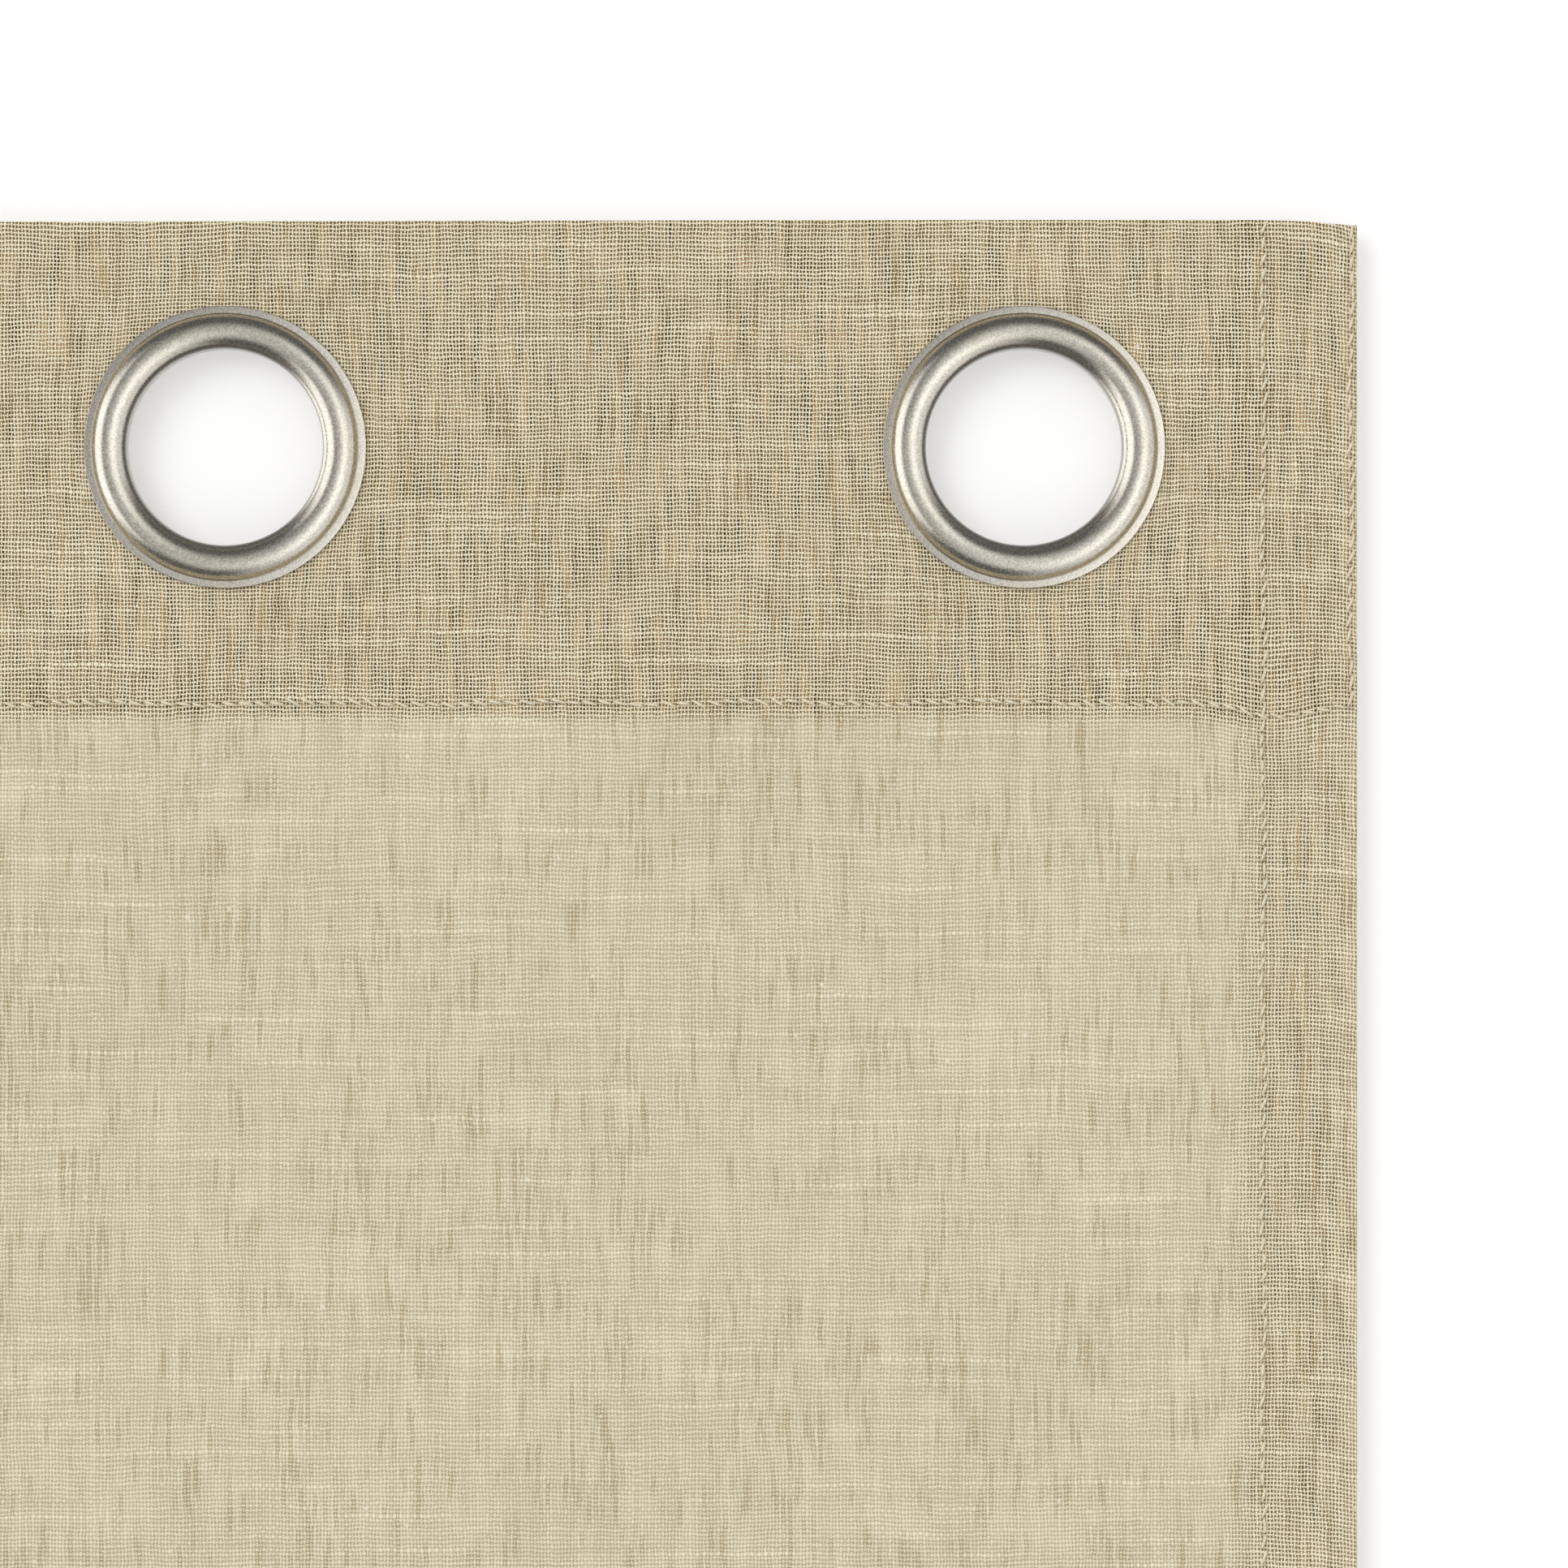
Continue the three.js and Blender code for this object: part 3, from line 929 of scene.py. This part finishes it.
def revolve(name, profile, centre, steps, material):
    """A profile (radius, y) carried round the Y axis through centre: x = radius * cos, z = radius *
    sin of the angle. The surface closes on itself both ways."""
    angle = np.arange(steps) * TAU / steps
    radius, y = profile[:, 0], profile[:, 1]
    x = centre.x + np.cos(angle)[:, None] * radius
    z = centre.z + np.sin(angle)[:, None] * radius
    points = np.stack([x, np.broadcast_to(y, x.shape), z], -1).reshape(-1, 3)
    faces = grid_faces(steps, len(profile), wrap_rows=True, wrap_columns=True)
    turns = np.roll(profile, -1, 0) - profile
    signed_area = np.sum(radius * turns[:, 1] - y * turns[:, 0])
    if signed_area < 0:
        faces = faces[:, ::-1]
    return put_mesh(name, points, faces.tolist(), material)


class CURTAIN_OT_grommets(bpy.types.Operator):
    """Press the grommets' front rings, with their necks and rolled lips"""

    bl_idname = "curtain.grommets"
    bl_label = "Grommet rings"

    def execute(self, context):
        settings = context.scene.curtain_grommet
        nickel = nickel_material("satin_nickel", tuple(settings.colour), 0.15)
        profile = ring_profile()
        for n, centre in enumerate(GROMMETS, 1):
            ring = revolve(f"satin_ring_{n}", profile, centre, settings.steps, nickel)
            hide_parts(f"grommet_ring_{n}")
            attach(ring, f"section_{n}")
        return {"FINISHED"}


class CURTAIN_OT_washers(bpy.types.Operator):
    """Make the crowned washers behind the header"""

    bl_idname = "curtain.washers"
    bl_label = "Washers"

    def execute(self, context):
        settings = context.scene.curtain_grommet
        steel = nickel_material("plain_washer", scaled(settings.colour, 0.85), 0.34)
        profile = washer_profile()
        for n, centre in enumerate(GROMMETS, 1):
            washer = revolve(f"crowned_washer_{n}", profile, centre, settings.steps, steel)
            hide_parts(f"grommet_washer_{n}")
            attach(washer, f"section_{n}")
        return {"FINISHED"}


# The studio


def plain_sheet(name, corners, material):
    """A flat rectangle of the studio."""
    sheet = put_mesh(name, np.array(corners, float), [[0, 1, 2, 3]], material)
    sheet.visible_glossy = False


def wall_material():
    """Matt white seen from the front only. It catches the panel's shadow for the camera and lets
    every other ray through, so that light reaches the panel's back."""
    material = bpy.data.materials.new("studio_wall")
    r = Recipe(material)
    seen = Number(r, r.node("ShaderNodeLightPath").outputs["Is Camera Ray"])
    behind = Number(r, r.node("ShaderNodeNewGeometry").outputs["Backfacing"])
    glow = {"Base Color": (0.74, 0.74, 0.74, 1), "Roughness": 1.0, "Specular IOR Level": 0.0}
    glow |= {"Emission Color": (1, 1, 1, 1), "Emission Strength": 0.33}
    matt = r.node("ShaderNodeBsdfPrincipled", None, glow)
    clear = r.node("ShaderNodeBsdfTransparent")
    factor = seen * (1 - behind)
    mix = r.node("ShaderNodeMixShader", None, {0: factor, 1: clear.outputs[0], 2: matt.outputs[0]})
    r.surface(mix.outputs[0])
    return material


def floor_material():
    material = bpy.data.materials.new("studio_floor")
    r = Recipe(material)
    matt = r.node("ShaderNodeBsdfDiffuse", None, {"Color": (0.86, 0.86, 0.86, 1)})
    r.surface(matt.outputs[0])
    return material


def studio_light(stage):
    """Even white light, a little stronger from above. What polished metal mirrors is a room with a
    tall softbox at each side, dark above and below, and grey in front and behind."""
    world = bpy.data.worlds.new("studio")
    bpy.context.scene.world = world
    r = Recipe(world)
    path = r.node("ShaderNodeLightPath")
    x, y, z = r.split(r.node("ShaderNodeTexCoord").outputs["Generated"])
    even = (0.9 + z * 0.35) * stage.fill
    turn = r.math("ARCTAN2", x, y * -1)
    right = r.ramp(turn, -0.15, 0.50) * r.ramp(turn, 1.85, 1.40)
    left = r.ramp(turn, -0.55, -0.90) * r.ramp(turn, -2.60, -2.00)
    right = right * r.ramp(r.math("ABSOLUTE", z + 0.25), 0.95, 0.45)
    left = left * r.ramp(r.math("ABSOLUTE", z), 0.72, 0.32)
    front = r.ramp(y, -0.50, -1.0) * (1 + x * 0.8 - z * 0.6)
    back = r.ramp(y, 0.45, 1.0)
    mirrored = 0.20 + front * 0.85 + back * 0.7 + right * 1.3 + left * 2.3
    glossy = Number(r, path.outputs["Is Glossy Ray"])
    camera = Number(r, path.outputs["Is Camera Ray"])
    bright = even * (1 - glossy) + mirrored * glossy
    bright = bright * (1 - camera) + camera * 1.02
    background = r.node("ShaderNodeBackground", None, {"Strength": bright})
    output = r.node("ShaderNodeOutputWorld")
    r.feed(output.inputs["Surface"], background.outputs[0])
    lamp = bpy.data.lights.new("key", "SUN")
    lamp.energy = stage.key
    lamp.angle = math.radians(35)
    key = bpy.data.objects.new("key", lamp)
    key.rotation_mode = "QUATERNION"
    key.rotation_quaternion = Vector((0.55, 0.80, -0.35)).to_track_quat("-Z", "Y")
    key.visible_glossy = False
    bpy.context.scene.collection.objects.link(key)


def studio_camera(stage):
    """Square on to the top right corner of the panel, as far off as the lens needs for the view's
    width. The corner lies a seventh of the view in from the right and as far down."""
    data = bpy.data.cameras.new("camera")
    data.lens = stage.lens
    data.sensor_width = 36
    camera = bpy.data.objects.new("camera", data)
    distance = stage.view_width * stage.lens / data.sensor_width
    across = EDGE - CORNER_FROM_MIDDLE[0] * stage.view_width
    down = TOP - CORNER_FROM_MIDDLE[1] * stage.view_width
    camera.location = (across, -PLY_FRONT - distance, down)
    camera.rotation_mode = "QUATERNION"
    camera.rotation_quaternion = Vector((0, 1, 0)).to_track_quat("-Z", "Y")
    bpy.context.scene.collection.objects.link(camera)
    bpy.context.scene.camera = camera


class CURTAIN_OT_stage(bpy.types.Operator):
    """Set up the pale floor and wall, the soft light and the camera"""

    bl_idname = "curtain.stage"
    bl_label = "Studio"

    def execute(self, context):
        stage = context.scene.curtain_stage
        context.scene.view_settings.view_transform = "Standard"
        floor, reach, high = BOTTOM - stage.floor_gap, 6.0, 3.0
        y = stage.wall_gap
        wall = [(-reach, y, floor), (reach, y, floor), (reach, y, high), (-reach, y, high)]
        plain_sheet("studio_wall", wall, wall_material())
        square = ((-1, -1), (1, -1), (1, 1), (-1, 1))
        ground = [(across * reach, back * reach, floor) for across, back in square]
        plain_sheet("studio_floor", ground, floor_material())
        studio_light(stage)
        studio_camera(stage)
        return {"FINISHED"}


class CURTAIN_PT_sidebar(bpy.types.Panel):
    """The curtain's settings and its makers"""

    bl_idname = "CURTAIN_PT_sidebar"
    bl_label = "Grommet Curtain"
    bl_space_type = "VIEW_3D"
    bl_region_type = "UI"
    bl_category = "Curtain"

    def draw(self, context):
        for group in SETTINGS:
            box = self.layout.box()
            for name in SETTINGS[group].__annotations__:
                box.prop(getattr(context.scene, group), name)
        for maker in MAKERS:
            self.layout.operator(maker.bl_idname)


SETTINGS = {
    "curtain_linen": LinenSettings,
    "curtain_thread": ThreadSettings,
    "curtain_grommet": GrommetSettings,
    "curtain_stage": StageSettings,
}
MAKERS = (
    CURTAIN_OT_cloth,
    CURTAIN_OT_cross_seams,
    CURTAIN_OT_side_seams,
    CURTAIN_OT_grommets,
    CURTAIN_OT_washers,
    CURTAIN_OT_stage,
)


def register():
    for kind in (*SETTINGS.values(), *MAKERS, CURTAIN_PT_sidebar):
        bpy.utils.register_class(kind)
    for group, kind in SETTINGS.items():
        setattr(bpy.types.Scene, group, bpy.props.PointerProperty(type=kind))


def unregister():
    for group in SETTINGS:
        delattr(bpy.types.Scene, group)
    for kind in (CURTAIN_PT_sidebar, *reversed(MAKERS), *SETTINGS.values()):
        bpy.utils.unregister_class(kind)


def main():
    register()
    for maker in MAKERS:
        getattr(bpy.ops.curtain, maker.bl_idname.split(".")[1])()


if __name__ == "__main__":
    main()
